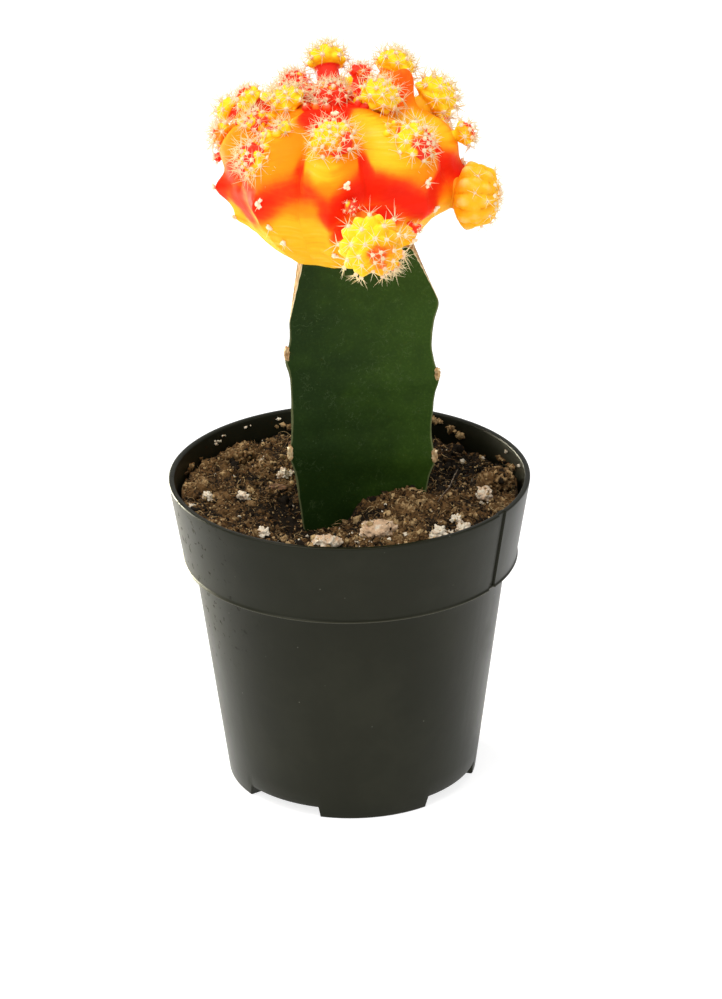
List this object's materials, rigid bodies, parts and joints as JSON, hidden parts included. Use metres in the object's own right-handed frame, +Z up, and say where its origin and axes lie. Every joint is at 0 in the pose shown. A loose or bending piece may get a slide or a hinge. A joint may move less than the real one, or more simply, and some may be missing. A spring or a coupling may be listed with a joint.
{
  "type": "potted moon cactus",
  "caption": "Moon cactus: ribbed orange, red and yellow scion with spiny offsets, grafted on an angular green stem, in a small black nursery pot of potting mix.",
  "frame": {"origin": "centre of the pot's base, on the surface that the pot stands on", "axes": "+Z up along the pot's axis; -Y is the front, where the stem shows its broad face and the lowest big offset; +X is to the right seen from the front"},
  "size_m": [0.0636, 0.0636, 0.1315],
  "materials": {
    "pot_plastic": "satin black moulded plastic with faint scuffs and dust",
    "potting_mix": "damp brown peat and bark mix with fine fibres",
    "rootstock_skin": "waxy dark green cactus skin with corky pared edges",
    "scion_skin": "waxy translucent orange skin with red valleys and yellow streaks",
    "offset_skin": "waxy yellow and red cactus skin",
    "perlite": "chalky white expanded mineral",
    "bark": "rough brown bark",
    "peat_clod": "fibrous tan and mossy brown peat",
    "twig": "thin dry twig",
    "spine": "pale cream spines and areole wool"
  },
  "bodies": {
    "root": {"bark_back": "bark", "bark_left": "bark", "clod_moss": "peat_clod", "clod_peat": "peat_clod", "offset_back_bud": "offset_skin", "offset_back_left": "offset_skin", "offset_back_low": "offset_skin", "offset_back_middle": "offset_skin", "offset_back_right": "offset_skin", "offset_centre": "offset_skin", "offset_centre_right": "offset_skin", "offset_crown": "offset_skin", "offset_front_bud": "offset_skin", "offset_front_low": "offset_skin", "offset_left_bud": "offset_skin", "offset_left_low": "offset_skin", "offset_left_mid": "offset_skin", "offset_left_outer": "offset_skin", "offset_left_shoulder": "offset_skin", "offset_left_star": "offset_skin", "offset_left_tip": "offset_skin", "offset_left_upper": "offset_skin", "offset_low_bud": "offset_skin", "offset_right_bud": "offset_skin", "offset_right_low": "offset_skin", "offset_right_upper": "offset_skin", "offset_top_behind": "offset_skin", "offset_top_left": "offset_skin", "offset_top_middle": "offset_skin", "offset_top_right": "offset_skin", "offset_upper_middle": "offset_skin", "offset_upper_right": "offset_skin", "perlite_back": "perlite", "perlite_edge": "perlite", "perlite_far_left": "perlite", "perlite_far_right": "perlite", "perlite_front": "perlite", "perlite_left": "perlite", "perlite_left_front": "perlite", "perlite_left_small": "perlite", "perlite_middle": "perlite", "perlite_right": "perlite", "perlite_small": "perlite", "pot": "pot_plastic", "rootstock": "rootstock_skin", "scion": "scion_skin", "soil": "potting_mix", "twig": "twig"}
  },
  "joints": []
}
